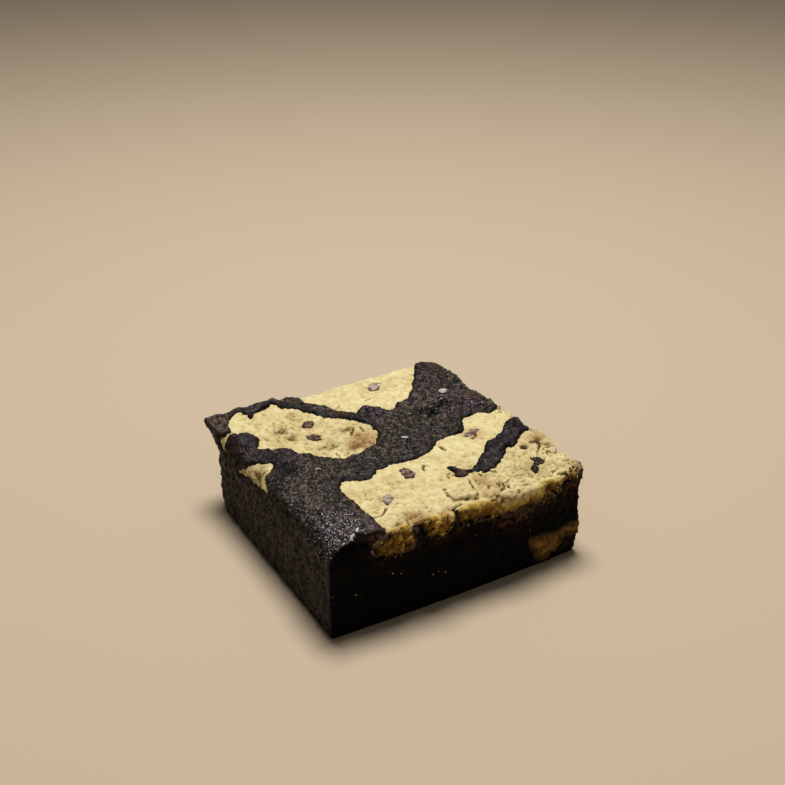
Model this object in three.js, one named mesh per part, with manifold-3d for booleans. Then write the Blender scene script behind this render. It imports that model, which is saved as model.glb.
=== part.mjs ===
// A square slice of brookie: a dark brownie with pale cookie dough baked into
// it. Dough shows on top in four places, two of them run down to a side as a
// layer, and a fifth piece sits low in the corner of the two knife cuts.
//
// Millimetres, +Z up, origin in the middle of the base. The front (-Y) and
// right (+X) sides are knife cuts, with crisp edges and a slight bow. The left
// (-X) and back (+Y) sides baked against the tin, so their top edges roll over,
// and the tin's corner rounds the slice where they meet, under a lip of crust.

import * as THREE from "three";
import { mergeVertices } from "three/addons/utils/BufferGeometryUtils.js";
import Module from "manifold-3d";

const wasm = await Module();
wasm.setup();
const { lerp, smoothstep, degToRad } = THREE.MathUtils;

// Driving dimensions.
const sliceWidth = 75; // X, over the dough that stands out of the right cut
const sliceDepth = 75; // Y, over the dough that stands out of the front cut
const sliceHeight = 26; // of the top, without its swells
const cutBow = 0.8; // how far each knife cut bows out in its middle
const doughBulge = 0.5; // how far dough stands out of a knife cut
const doughSink = 0.4; // how far dough lies below the brownie on the top
const clearance = 0.3; // between the brownie and each piece of dough

const leftShoulder = 5; // radius of the rolled top edge on the left
const backShoulder = 2.2; // and at the back
const lipShoulder = 0.9; // and on the crust lip at the tin's corner
const lipReach = 24; // how far from the tin's corner that lip runs out
const tinCorner = 10; // plan radius that the tin gives the wall
const lipCorner = 2.5; // plan radius of the lip above it
const baseEdge = 0.8; // rounding where the wall meets the base
const softCorner = 4; // plan radius of the back right corner
const spill = 4; // how far the uncut bake and dough run on past a knife cut
const cell = 3; // size of the facets under the dough
const weld = 1e-4; // vertices closer than this are one

const left = -sliceWidth / 2;
const right = sliceWidth / 2 - cutBow - doughBulge;
const front = -sliceDepth / 2 + cutBow + doughBulge;
const back = sliceDepth / 2;

// Low mounds and hollows of the top: where each one is, how far it spreads
// and how high it rises.
const swells = [
  { x: -31, y: -28, spread: 8, rise: 0.9 }, // brownie at the front left corner
  { x: 30, y: 30, spread: 10, rise: 0.7 }, // brownie at the back right corner
  { x: -24, y: 37, spread: 9, rise: 0.9 }, // crust rim at the back left
  { x: 4, y: 4, spread: 12, rise: 0.5 }, // brownie band across the middle
  { x: -16, y: 14, spread: 11, rise: -0.9 }, // hollow of the oval dough
  { x: -5, y: 34, spread: 5, rise: -0.8 }, // dip beside the back dough
  { x: 27, y: -33, spread: 9, rise: -0.8 }, // worn edge by the front right corner
];

const topAt = (x, y) =>
  swells.reduce((height, swell) => {
    const reach = ((x - swell.x) ** 2 + (y - swell.y) ** 2) / swell.spread ** 2;
    return height + swell.rise * Math.exp(-reach);
  }, sliceHeight);

// A closed mesh through equal rings of points, from the pole below the first
// ring to the pole above the last.
function loft(lowPole, rings, highPole) {
  const count = rings[0].length;
  const points = [lowPole, ...rings.flat(), highPole];
  const at = (ring, k) => 1 + ring * count + (k % count);
  const faces = [];
  for (let k = 0; k < count; k++) {
    faces.push(0, at(0, k + 1), at(0, k));
    for (let ring = 1; ring < rings.length; ring++) {
      const [a, b] = [at(ring - 1, k), at(ring - 1, k + 1)];
      const [c, d] = [at(ring, k), at(ring, k + 1)];
      faces.push(a, b, d, a, d, c);
    }
    faces.push(points.length - 1, at(rings.length - 1, k), at(rings.length - 1, k + 1));
  }
  return new THREE.BufferGeometry().setFromPoints(points).setIndex(faces);
}

// A closed geometry as a solid that can be cut and joined, and back again.
function solidOf(geometry) {
  geometry.deleteAttribute("normal");
  geometry.deleteAttribute("uv");
  const merged = mergeVertices(geometry, weld);
  const mesh = new wasm.Mesh({
    numProp: 3,
    vertProperties: new Float32Array(merged.attributes.position.array),
    triVerts: new Uint32Array(merged.index.array),
  });
  return new wasm.Manifold(mesh);
}

function geometryOf(solid) {
  const { vertProperties, triVerts } = solid.getMesh();
  const geometry = new THREE.BufferGeometry();
  geometry.setAttribute("position", new THREE.BufferAttribute(vertProperties, 3));
  geometry.setIndex(new THREE.BufferAttribute(triVerts, 1));
  geometry.computeVertexNormals();
  return geometry;
}

// The wall of the uncut bake at one level, from the front left corner round to
// the right, the back, the tin's corner and the left, with normals out.
function wallOutline(corner) {
  const sideSteps = 18;
  const cornerSteps = 6;
  const [x1, y0] = [right + spill, front - spill];
  const points = [];
  const side = (from, to, nx, ny) => {
    for (let k = 0; k < sideSteps; k++) {
      const share = k / sideSteps;
      points.push({ x: lerp(from[0], to[0], share), y: lerp(from[1], to[1], share), nx, ny });
    }
  };
  side([left, y0], [x1, y0], 0, 0);
  side([x1, y0], [x1, back], 0, 0);
  side([x1, back], [left + corner, back], 0, 1);
  for (let k = 0; k < cornerSteps; k++) {
    const angle = degToRad(90 + (90 * k) / cornerSteps);
    const [nx, ny] = [Math.cos(angle), Math.sin(angle)];
    points.push({ x: left + corner * (1 + nx), y: back - corner * (1 - ny), nx, ny });
  }
  side([left, back - corner], [left, y0], -1, 0);
  return points;
}

// How far the top edge rolls over: wide on the left, tighter at the back, and
// almost sharp on the lip at the tin's corner.
function shoulderAt({ x, y, nx }) {
  const fromCorner = Math.hypot(x - left, y - back);
  const rolled = lerp(backShoulder, leftShoulder, nx ** 2);
  return lerp(lipShoulder, rolled, smoothstep(fromCorner, lipCorner, lipReach));
}

// The whole bake before the knife, with its top lowered by a little.
function bake(sink) {
  const wallSteps = 5;
  const shoulderSteps = 4;
  const topSteps = 8;
  const middle = { x: (left + right) / 2, y: (front + back) / 2 };
  const rings = [];

  const base = wallOutline(tinCorner);
  rings.push(base.map((p) => new THREE.Vector3(p.x - baseEdge * p.nx, p.y - baseEdge * p.ny, 0)));
  for (let k = 0; k <= wallSteps; k++) {
    const share = k / wallSteps;
    const wall = wallOutline(lerp(tinCorner, lipCorner, smoothstep(share, 0.7, 1)));
    const ring = wall.map((point) => {
      const shoulderStart = topAt(point.x, point.y) - sink - shoulderAt(point);
      return new THREE.Vector3(point.x, point.y, lerp(baseEdge, shoulderStart, share));
    });
    rings.push(ring);
  }

  const lip = wallOutline(lipCorner);
  for (let k = 1; k <= shoulderSteps; k++) {
    const angle = degToRad((90 * k) / shoulderSteps);
    const ring = lip.map((point) => {
      const radius = shoulderAt(point);
      const inward = radius * (1 - Math.cos(angle));
      const down = radius * (1 - Math.sin(angle));
      const x = point.x - inward * point.nx;
      const y = point.y - inward * point.ny;
      return new THREE.Vector3(x, y, topAt(x, y) - sink - down);
    });
    rings.push(ring);
  }

  const rim = rings.at(-1);
  for (let k = 1; k < topSteps; k++) {
    const share = k / topSteps;
    const ring = rim.map((point) => {
      const [x, y] = [lerp(point.x, middle.x, share), lerp(point.y, middle.y, share)];
      return new THREE.Vector3(x, y, topAt(x, y) - sink);
    });
    rings.push(ring);
  }
  const lowPole = new THREE.Vector3(middle.x, middle.y, 0);
  const highPole = new THREE.Vector3(middle.x, middle.y, topAt(middle.x, middle.y) - sink);
  return solidOf(loft(lowPole, rings, highPole));
}

// What the knife leaves, as an upright block with two bowed faces. The bulge
// moves both faces out, as it does where dough is cut.
function knifeCut(bulge) {
  const far = sliceWidth;
  const [x1, y0] = [right + bulge, front - bulge];
  const cornerTop = back - softCorner;
  const shape = new THREE.Shape();
  shape.moveTo(-far, y0);
  shape.lineTo(left, y0);
  shape.quadraticCurveTo((left + x1) / 2, y0 - 2 * cutBow, x1, y0);
  shape.quadraticCurveTo(x1 + 2 * cutBow, (y0 + cornerTop) / 2, x1, cornerTop);
  shape.absarc(x1 - softCorner, cornerTop, softCorner, 0, Math.PI / 2);
  shape.lineTo(-far, back);
  const options = { depth: far, bevelEnabled: false, curveSegments: 10 };
  return solidOf(new THREE.ExtrudeGeometry(shape, options).translate(0, 0, -far / 4));
}

// A smooth closed outline through a few corners, grown outwards by a little.
function smoothOutline(corners, steps, grow) {
  const points = corners.map(([x, y]) => new THREE.Vector3(x, y, 0));
  const curve = new THREE.CatmullRomCurve3(points, true, "centripetal");
  const outward = THREE.ShapeUtils.isClockWise(points) ? -grow : grow;
  const outline = [];
  for (let k = 0; k < steps; k++) {
    const { x, y } = curve.getPointAt(k / steps);
    const tangent = curve.getTangentAt(k / steps);
    outline.push(new THREE.Vector2(x + outward * tangent.y, y - outward * tangent.x));
  }
  return outline;
}

const uprightPrism = (outline) => {
  const options = { depth: 2 * sliceHeight, bevelEnabled: false };
  return solidOf(new THREE.ExtrudeGeometry(new THREE.Shape(outline), options));
};

// Everything above an uneven floor, under an outline.
function aboveFloor(outline, floorAt) {
  const box = new THREE.Box2().setFromPoints(outline).expandByScalar(1);
  const size = box.getSize(new THREE.Vector2());
  const centre = box.getCenter(new THREE.Vector2());
  const [columns, rows] = [Math.ceil(size.x / cell), Math.ceil(size.y / cell)];
  const block = new THREE.BoxGeometry(size.x, size.y, 1, columns, rows, 1);
  block.translate(centre.x, centre.y, 0);
  const { position } = block.attributes;
  for (let k = 0; k < position.count; k++) {
    const isFloor = position.getZ(k) < 0;
    const z = isFloor ? floorAt(position.getX(k), position.getY(k)) : 3 * sliceHeight;
    position.setZ(k, z);
  }
  return solidOf(block);
}

// The room that a piece of dough takes in the bake, open above. Its side goes
// down steeply for about half its depth and then curves under.
function doughRoom({ outline, steps, depthAt }, grow) {
  const edgeShare = 0.55;
  const curveWidth = 4;
  const edge = smoothOutline(outline, steps, 0);
  const floorAt = (x, y) => {
    const here = new THREE.Vector2(x, y);
    const inward = Math.min(...edge.map((point) => point.distanceTo(here)));
    const share = lerp(edgeShare, 1, smoothstep(inward, 0, curveWidth));
    return sliceHeight - share * depthAt(x, y) - grow;
  };
  const side = uprightPrism(smoothOutline(outline, steps, grow));
  return side.intersect(aboveFloor(edge, floorAt));
}

// The brownie that is swirled through the dough along the right cut.
const streak = [
  [7.4, -18.6], [9.6, -21], [13, -21.6], [18, -18], [25.5, -12.8],
  [30.2, -10], [34, -7.4], [right + spill, -7.4], [right + spill, -13], [31.5, -15],
  [28.6, -17.4], [25.3, -17.2], [20.5, -22], [15.5, -24.6], [6.2, -23],
];

// Dough along the front and right cuts, the largest piece. Where the front
// cut goes through it, its underside is uneven: x along the cut, and depth.
const frontUnderside = [
  [-27, 5.5], [-20, 7], [-12, 5], [-7, 6.2], [-1, 4.6], [8, 5], [16, 6.4], [26, 5.4], [37, 3],
];
function frontDepth(x, y) {
  const next = frontUnderside.findIndex(([at]) => at > x);
  const [x1, depth1] = frontUnderside.at(next);
  const [x0, depth0] = frontUnderside.at(Math.max(next, 1) - 1);
  const share = Math.min(Math.max((x - x0) / (x1 - x0), 0), 1);
  const atCut = next < 0 ? depth1 : lerp(depth0, depth1, share);
  return lerp(atCut, 5.5, smoothstep(y, front, front + 14));
}
const frontDough = {
  name: "cookie_front",
  steps: 76,
  depthAt: frontDepth,
  outline: [
    [-22, -30.5], [-22.6, -14], [-19.5, -10.8], [-14.5, -13.3], [-6, -10.2], [7, -9.6],
    [12, -6.2], [20.5, -4.3], [24.3, 1.4], [30, 2], [33, 0], [right + spill, -0.5],
    [right + spill, front - spill], [-25.5, front - spill], [-25, front + 0.5],
  ],
};

// The oval in the back left part of the top, with a thin tail to the left.
const ovalDough = {
  name: "cookie_left",
  steps: 84,
  depthAt: () => 6,
  outline: [
    [-34, 30], [-30, 35.2], [-27.9, 36.6], [-26.7, 30.4], [-24, 32.2], [-19.5, 34.2],
    [-13.8, 30.2], [-9.6, 21.6], [-2.9, 16.1], [-0.4, 9], [-4.5, 0.8], [-13.8, -1.4],
    [-19.5, 4], [-26.4, 12], [-32, 14.6], [-29.5, 20], [-32, 25.1], [-37, 24],
    [-39.5, 20.5], [-39.5, 23.5], [-37.4, 26],
  ],
};

const backDough = {
  name: "cookie_back",
  steps: 64,
  depthAt: () => 6.5,
  outline: [
    [-10.5, back + spill], [-10.4, 33.7], [-5.4, 26.4], [-1.4, 19.5], [-0.3, 17.6], [3.6, 19.9],
    [7.4, 16.2], [8.8, 15], [16.8, 18.9], [23, 25.8], [29.8, 35.3], [30.5, back + spill],
  ],
};

// A scrap of dough on the rolled left edge.
const edgeDough = {
  name: "cookie_edge",
  steps: 30,
  depthAt: () => 6,
  outline: [
    [left - spill, 14.5], [-37.3, 13.3], [-36, 10], [-34.8, 7.5], [-32.6, 5.6],
    [-34.5, 2], [-36.5, -0.3], [-37.4, -2.8], [left - spill, -3],
  ],
};

// The lump low in the front right corner: its face in the front cut, x and z,
// and how far it goes in from there.
const lumpFace = [
  [20.2, 9], [25, 9.6], [29.5, 8.8], [33, 9.6], [right + spill, 9.6],
  [right + spill, 6.2], [32.8, 6.2], [30, 4.6], [27, 1.7], [23.6, 1.6],
];
const lumpReach = 9;
function lumpRoom(grow) {
  const face = smoothOutline(lumpFace, 40, grow);
  const taper = 2;
  const rounding = 1;
  const options = {
    depth: spill + lumpReach - taper,
    bevelThickness: taper,
    bevelSize: rounding,
    bevelOffset: -rounding,
    bevelSegments: 2,
  };
  const lump = new THREE.ExtrudeGeometry(new THREE.Shape(face), options);
  lump.rotateX(Math.PI / 2);
  return solidOf(lump.translate(0, front + lumpReach - taper + grow, 0));
}

const brownieMaterial = new THREE.MeshStandardMaterial({ color: 0x40372f, roughness: 0.7 });
const doughMaterial = new THREE.MeshStandardMaterial({ color: 0xd9c892, roughness: 0.9 });

const brookie = new THREE.Group();
function addPiece(name, solid, material) {
  const mesh = new THREE.Mesh(geometryOf(solid), material.clone());
  mesh.name = name;
  brookie.add(mesh);
}

const cutBrownie = bake(0).intersect(knifeCut(0));
const cutDough = bake(doughSink).intersect(knifeCut(doughBulge));
const streakSolid = uprightPrism(smoothOutline(streak, 56, 0));
const streakPocket = uprightPrism(smoothOutline(streak, 56, clearance));

let brownie = cutBrownie.subtract(lumpRoom(clearance));
for (const dough of [frontDough, ovalDough, backDough, edgeDough]) {
  let room = doughRoom(dough, 0);
  let pocket = doughRoom(dough, clearance);
  if (dough === frontDough) {
    room = room.subtract(streakPocket);
    pocket = pocket.subtract(streakSolid);
  }
  brownie = brownie.subtract(pocket);
  addPiece(dough.name, cutDough.intersect(room), doughMaterial);
}
addPiece("cookie_lower", cutDough.intersect(lumpRoom(0)), doughMaterial);
addPiece("brownie", brownie, brownieMaterial);

export default brookie;
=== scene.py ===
import math
import random
from functools import partial

import bmesh
import bpy
import numpy as np
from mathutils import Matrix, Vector, noise


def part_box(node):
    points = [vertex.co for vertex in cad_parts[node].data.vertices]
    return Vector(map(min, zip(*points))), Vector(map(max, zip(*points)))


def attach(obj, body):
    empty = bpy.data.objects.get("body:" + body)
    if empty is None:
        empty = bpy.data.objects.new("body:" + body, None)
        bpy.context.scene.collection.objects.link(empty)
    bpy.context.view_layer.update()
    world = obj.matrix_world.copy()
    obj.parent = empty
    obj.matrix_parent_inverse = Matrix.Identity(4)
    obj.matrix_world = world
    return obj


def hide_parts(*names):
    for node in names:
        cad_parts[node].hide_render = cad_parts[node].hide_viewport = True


# A square slice of brookie, dressed over its solids.
# Shapes are worked out in millimetres and turned to metres as a mesh is made.

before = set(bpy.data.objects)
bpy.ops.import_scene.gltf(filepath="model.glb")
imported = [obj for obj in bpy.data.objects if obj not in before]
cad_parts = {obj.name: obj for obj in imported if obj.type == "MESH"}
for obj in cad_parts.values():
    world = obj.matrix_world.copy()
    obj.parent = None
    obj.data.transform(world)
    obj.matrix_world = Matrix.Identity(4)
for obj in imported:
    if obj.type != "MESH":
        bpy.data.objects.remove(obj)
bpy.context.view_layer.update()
mm = 0.001
farOut = -99.0  # mm inside the dough, where there is none
fullTurn = 6.28

cameraSettings = {
    "lens": 52.2,
    "sensor": 36.0,
    "place": (-0.132775, -0.228223, 0.179227),
    "lookAt": (0.027329, 0.045500, 0.013079),
}


def setCamera(settings):
    data = bpy.data.cameras.new("camera")
    data.lens = settings["lens"]
    data.sensor_width = settings["sensor"]
    camera = bpy.data.objects.new("camera", data)
    bpy.context.scene.collection.objects.link(camera)
    camera.location = settings["place"]
    aim = Vector(settings["lookAt"]) - Vector(settings["place"])
    camera.rotation_euler = aim.to_track_quat("-Z", "Y").to_euler()
    bpy.context.scene.camera = camera


setCamera(cameraSettings)
print("camera set")


# tools for shaping: points are rows of x, y and z in mm

def smooth(value, low, high):  # 0 below low, 1 above high, eased between
    share = np.clip((value - low) / (high - low), 0.0, 1.0)
    return share * share * (3.0 - 2.0 * share)


def between(low, high, share):
    return low + share * (high - low)


def ruffle(points, size, octaves=3, seed=0):  # soft bumps about size mm across, -1 to 1
    shift = Vector((17.3, -9.1, 5.7)) * seed
    return np.array([
        noise.fractal(Vector(p) + shift, 0.9, 2.0, octaves) for p in (points / size).tolist()
    ])


def grains(points, size, seed=0):  # 1 at the middle of each grain, 0 in the gaps
    shift = Vector((-4.9, 13.1, 8.3)) * seed
    nearest = np.array([
        noise.voronoi(Vector(p) + shift)[0][:2] for p in (points / size).tolist()
    ])
    return np.clip(1.5 * (nearest[:, 1] - nearest[:, 0]), 0.0, 1.0)


def blobs(points, spots):  # each spot is x, y, z, spread and rise, on the flat top without z
    rise = np.zeros(len(points))
    for *place, spread, lift in spots:
        away = ((points - (place + [slab["height"]])[:3]) ** 2).sum(1)
        rise += lift * np.exp(-away / spread**2)
    return rise


def smoothOutline(corners, steps=6):  # closed curve through the corners
    corners = np.array(corners, float)
    before, after = np.roll(corners, 1, 0), np.roll(corners, -1, 0)
    beyond = np.roll(corners, -2, 0)
    t = np.arange(steps)[None, :, None] / steps
    a, b, c, d = (p[:, None, :] for p in (before, corners, after, beyond))
    curve = 0.5 * (2 * b + (c - a) * t + (2 * a - 5 * b + 4 * c - d) * t**2
                   + (3 * b - a - 3 * c + d) * t**3)
    return curve.reshape(-1, 2)


def nearLine(points, line):  # mm from an open line
    nearest = np.full(len(points), np.inf)
    for start, end in zip(line[:-1], line[1:]):
        along = end - start
        offset = points - start
        share = np.clip(offset @ along / (along @ along), 0.0, 1.0)
        gap = ((offset - share[:, None] * along) ** 2).sum(1)
        nearest = np.minimum(nearest, gap)
    return np.sqrt(nearest)


def insideBy(points, outline):  # mm inside a closed outline, negative outside it
    outline = np.append(outline, outline[:1], 0)
    within = np.zeros(len(points), bool)
    for start, end in zip(outline[:-1], outline[1:]):
        along = end - start
        straddles = (start[1] > points[:, 1]) != (end[1] > points[:, 1])
        if straddles.any():
            crossing = start[0] + (points[:, 1] - start[1]) * along[0] / along[1]
            within ^= straddles & (points[:, 0] < crossing)
    return np.where(within, 1, -1) * nearLine(points, outline)


# the slab that every skin is laid on
slab = {
    "height": 26.0,  # of the plain top
    "cutBow": 0.8,  # how far each knife cut bows out in its middle
    "leftShoulder": 5.0,  # radius of the rolled top edge on the left
    "backShoulder": 2.2,  # and at the back
    "lipShoulder": 0.6,  # and on the crust lip at the tin's corner
    "lipReach": 24.0,  # how far that lip runs out
    "lipFlare": 0.6,  # how far it leans out over the wall
    "lipFrom": 0.7,  # share of the height from which the wall turns to the lip
    "tinCorner": 10.0,  # plan radius of the wall in the tin's corner
    "lipCorner": 0.8,  # plan radius of the lip over it
    "softCorner": 4.0,  # plan radius of the back right corner
    "knifeCorner": 0.5,  # where two faces meet at a cut
    "baseEdge": 0.8,  # how high the foot is drawn in
    "swells": [  # x, y, spread, rise
        (-31, -28, 8, 0.9), (30, 30, 10, 0.7), (-24, 37, 9, 0.9), (4, 4, 12, 0.5),
        (-16, 14, 11, -0.9), (-5, 34, 5, -0.8), (27, -33, 9, -0.8),
    ],
}
brownieLow, brownieHigh = (np.array(corner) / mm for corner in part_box("brownie"))
left, back = brownieLow[0], brownieHigh[1]
right, front = brownieHigh[0] - slab["cutBow"], brownieLow[1] + slab["cutBow"]


def topAt(x, y):
    height = np.full(np.shape(x), slab["height"])
    for sx, sy, spread, rise in slab["swells"]:
        height = height + rise * np.exp(-((x - sx) ** 2 + (y - sy) ** 2) / spread**2)
    return height


def roundEdge(a, b, radius):
    # a and b are depths behind two faces that meet: the corner between them is
    # drawn in to a quarter circle, and what lies behind it follows
    near = (a < radius) & (b < radius)
    p, q = 1 - np.where(near, a, 0) / radius, 1 - np.where(near, b, 0) / radius
    reach = np.maximum(p, q)
    share = np.where(p >= q, q / np.maximum(p, 1e-9), 2 - p / np.maximum(q, 1e-9))
    angle = share * math.pi / 4
    roundA = radius * (1 - reach * np.cos(angle))
    roundB = radius * (1 - reach * np.sin(angle))
    return np.where(near, roundA, a), np.where(near, roundB, b)


def layFlat(shares, quads, cutRound):
    # takes a box's grid, given as shares of its sides, to the plain slab
    height = slab["height"]
    x = left + shares[:, 0] * (right - left)
    y = front + shares[:, 1] * (back - front)
    z = shares[:, 2] * (1.25 - 0.25 * shares[:, 2]) * height  # closer rows near the top
    fromCorner = np.hypot(x - left, y - back)
    lip = 1 - smooth(fromCorner, slab["lipCorner"], slab["lipReach"])
    places = [x, y, z]
    # for each face its axis, where it lies and which way the slab is from it
    onLeft, onRight, glintsOnCrust = (0, left, 1), (0, right, -1), (2, height, -1)
    onFront, onBack = (1, front, 1), (1, back, -1)

    def soften(one, other, radius):
        (i, atOne, inOne), (j, atOther, inOther) = one, other
        a, b = roundEdge(
            inOne * (places[i] - atOne), inOther * (places[j] - atOther), radius)
        places[i], places[j] = atOne + inOne * a, atOther + inOther * b

    soften(onLeft, glintsOnCrust, between(slab["leftShoulder"], slab["lipShoulder"], lip))
    soften(onBack, glintsOnCrust, between(slab["backShoulder"], slab["lipShoulder"], lip))
    soften(onFront, glintsOnCrust, cutRound)
    soften(onRight, glintsOnCrust, cutRound)
    flare = smooth(places[2], slab["lipFrom"] * height, height - 1)
    soften(onLeft, onBack, between(slab["tinCorner"], slab["lipCorner"], flare))
    soften(onRight, onBack, slab["softCorner"])
    soften(onRight, onFront, slab["knifeCorner"])
    soften(onLeft, onFront, slab["knifeCorner"])
    x, y, z = places
    lean = slab["lipFlare"] * smooth(z, 0.75 * height, height) * (1 - smooth(fromCorner, 2, 12))
    x = x - lean * smooth(left + 8 - x, 0, 8)
    foot = slab["baseEdge"] * (1 - smooth(z, 0, 2 * slab["baseEdge"])) * 0.6
    xShare = 2 * (x - left) / (right - left) - 1
    yShare = 2 * (y - front) / (back - front) - 1
    x = x + slab["cutBow"] * (1 - yShare**2) * smooth(xShare, -0.2, 1.0)
    y = y - slab["cutBow"] * (1 - xShare**2) * smooth(-yShare, -0.2, 1.0)
    x = x - foot * xShare
    y = y - foot * yShare
    z = z * topAt(x, y) / height
    points = np.stack([x, y, z], 1)
    rim = shares[:, 2] == 0
    for _ in range(2):  # takes the knife edges from sharp to crisp
        points = blurred(points, quads, 0.5, hold=rim)
    return points


def makeSkin(step, stepUp, cutRound):
    # a grid over the top and the four sides with cells of about step by stepUp
    across = round((right - left) / step)
    along = round((back - front) / step)
    up = round(slab["height"] / stepUp)
    ids = np.full((across + 1, along + 1, up + 1), -1)
    i, j, k = np.indices(ids.shape)
    onSkin = (i == 0) | (i == across) | (j == 0) | (j == along) | (k == up)
    ids[onSkin] = np.arange(onSkin.sum())
    shares = np.argwhere(onSkin) / (across, along, up)
    quads = []
    for grid, flip in (
        (ids[:, :, -1], False), (ids[-1], False), (ids[:, 0], False),
        (ids[0], True), (ids[:, -1], True),
    ):
        ring = [grid[:-1, :-1], grid[1:, :-1], grid[1:, 1:], grid[:-1, 1:]]
        faces = np.stack([part.ravel() for part in ring], 1)
        quads.append(faces[:, ::-1] if flip else faces)
    quads = np.concatenate(quads)
    points = layFlat(shares, quads, cutRound)
    base = np.concatenate([ids[:-1, 0, 0], ids[-1, :-1, 0], ids[:0:-1, -1, 0], ids[0, :0:-1, 0]])
    return points, quads, base


def blurred(points, quads, amount, hold=None):
    here = quads[:, [0, 1, 2, 3, 0, 1, 2, 3]].T.ravel()
    there = quads[:, [1, 2, 3, 0, 3, 0, 1, 2]].T.ravel()
    count = np.bincount(here, minlength=len(points))
    mean = np.stack([
        np.bincount(here, column[there], len(points)) / count for column in points.T
    ], 1)
    moved = points + amount * (mean - points)
    if hold is not None:
        moved[hold] = points[hold]
    return moved


def standing(relief, quads, passes):  # how far each point stands above those around it
    around = relief[:, None]
    for _ in range(passes):
        around = blurred(around, quads, 1.0)
    return relief - around[:, 0]


def normalsOf(points, quads):
    a, b, c, d = (points[quads[:, k]] for k in range(4))
    faceNormals = np.cross(c - a, d - b)
    normals = np.zeros_like(points)
    for k in range(4):
        np.add.at(normals, quads[:, k], faceNormals)
    return normals / np.linalg.norm(normals, axis=1)[:, None]


# where the dough lies. outline: x and y from above, face: x and z from the front,
# rolled: as if the left edge were rolled out flat, mm in from the edge and y.
# depth: how deep it goes, and cutDepth: x along the front cut and the depth there
doughs = {
    "cookie_front": {
        "outline": [
            (-20.4, -42), (-21, -35.4), (-22.2, -31), (-22.2, -24), (-22.4, -14.5), (-21.2, -12),
            (-19.4, -10.8), (-17, -12.1), (-14.5, -13.4), (-11.8, -12.3), (-9.4, -10.8),
            (-4, -10.4), (3, -10.3), (6.8, -9.6), (9.4, -7.2), (12, -6), (16, -5.4),
            (20.6, -4.2), (22, -1.8), (24.3, 1.4), (27.4, 2), (30, 2), (32.4, 0.1),
            (41, -0.5), (41, -42),
        ],
        "depth": 5.5,
        "cutDepth": [
            (-27, 3.1), (-25.8, 5.1), (-23.4, 6.4), (-20, 7.2), (-15, 5.9), (-13, 5), (-8, 6.2),
            (-3.8, 4.7), (3.6, 5), (12.3, 6.3), (19, 6.4), (25.6, 5.4), (32.3, 3.0), (37, 2.3),
        ],
        "lean": 3.8,  # how far it runs in under the brownie at the left end of the cut
    },
    "cookie_left": {
        "outline": [
            (-34.1, 30), (-31.8, 33.6), (-29, 35.4), (-27.4, 33.6), (-26.8, 31), (-24.6, 32.2),
            (-20.8, 34), (-18.6, 34.8), (-16.6, 32.6), (-12.4, 28.4), (-10.4, 24.4), (-7.4, 21),
            (-3.2, 17.8), (-0.8, 13.8), (0.2, 9.8), (-1.4, 4), (-4.3, 1), (-10.8, -0.6),
            (-13.9, -1.4), (-17, 0.8), (-22, 7), (-26.4, 12), (-32, 14.5), (-30.2, 18.2),
            (-29.7, 21.5), (-31.9, 25.1), (-34, 25.4), (-34.2, 26.6),
        ],
        "depth": 3.6,
        "rolled": [  # its tongue over the left edge
            (4, 26.8), (0.6, 26.9), (-3.2, 28.4), (-4.6, 26.4), (-3.8, 24), (-1.8, 24.4),
            (1, 25.2), (4, 25),
        ],
    },
    "cookie_back": {
        "outline": [
            (-10.2, 42), (-9.6, 33.6), (-7.9, 31.4), (-5, 26.4), (-4.3, 23.3), (-1.4, 19.5),
            (-0.4, 17.6), (1.1, 18.9), (3.6, 19.8), (6.1, 18.5), (7.4, 16.4), (8.6, 15.1),
            (10.5, 16.1), (13.6, 18.3), (16.8, 18.9), (23, 25.8), (28, 33.3), (30, 36), (30.5, 42),
        ],
        "depth": 6.5,
    },
    "cookie_edge": {
        "rolled": [
            (-6.6, 16.4), (-3.4, 13), (-0.7, 10.6), (2.1, 8.7), (3.6, 7), (5.4, 6), (4, 3.4),
            (0.6, 1.8), (-3, -1.8), (-3.6, 1.2), (-5, 5.2), (-4.8, 9.2), (-6.2, 13),
        ],
    },
    "cookie_lower": {
        "face": [
            (20.2, 9), (22, 9.6), (25.3, 9.2), (29.5, 8.7), (33, 9.6), (41, 9.6), (41, 6.2),
            (32.8, 6.2), (30.3, 5), (29.4, 2.8), (27, 1.7), (23.6, 1.6), (21.7, 4.2),
        ],
        "reach": 10,  # how far back it goes, and how much it narrows by there
        "taper": 1.8,
    },
}
# brownie that is swirled through the front dough
streak = [
    (6.3, -18.3), (7.6, -18.5), (8.3, -20.4), (9.4, -21.8), (11.2, -22), (13.3, -20.9),
    (16, -19.2), (20.5, -15.1), (23, -12.6), (26.1, -12), (29.3, -10.6), (31.4, -8.6),
    (34, -6.4), (41, -6.4), (41, -12.4), (34.2, -13.2), (30.8, -15.5), (28.6, -17.4),
    (25.5, -17.4), (23.6, -19.6), (20.4, -22.4), (16.8, -24.6), (13.6, -24.9),
    (11.8, -23.1), (9.4, -23.2), (8.6, -24.3), (7, -24), (6.4, -22.4), (7, -20.4),
]


def wobbled(points):  # how raggedly dough and brownie meet
    return 0.45 * ruffle(points, 2.6, 2, seed=1) + 0.3 * ruffle(points, 0.8, 2, seed=2)


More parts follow.
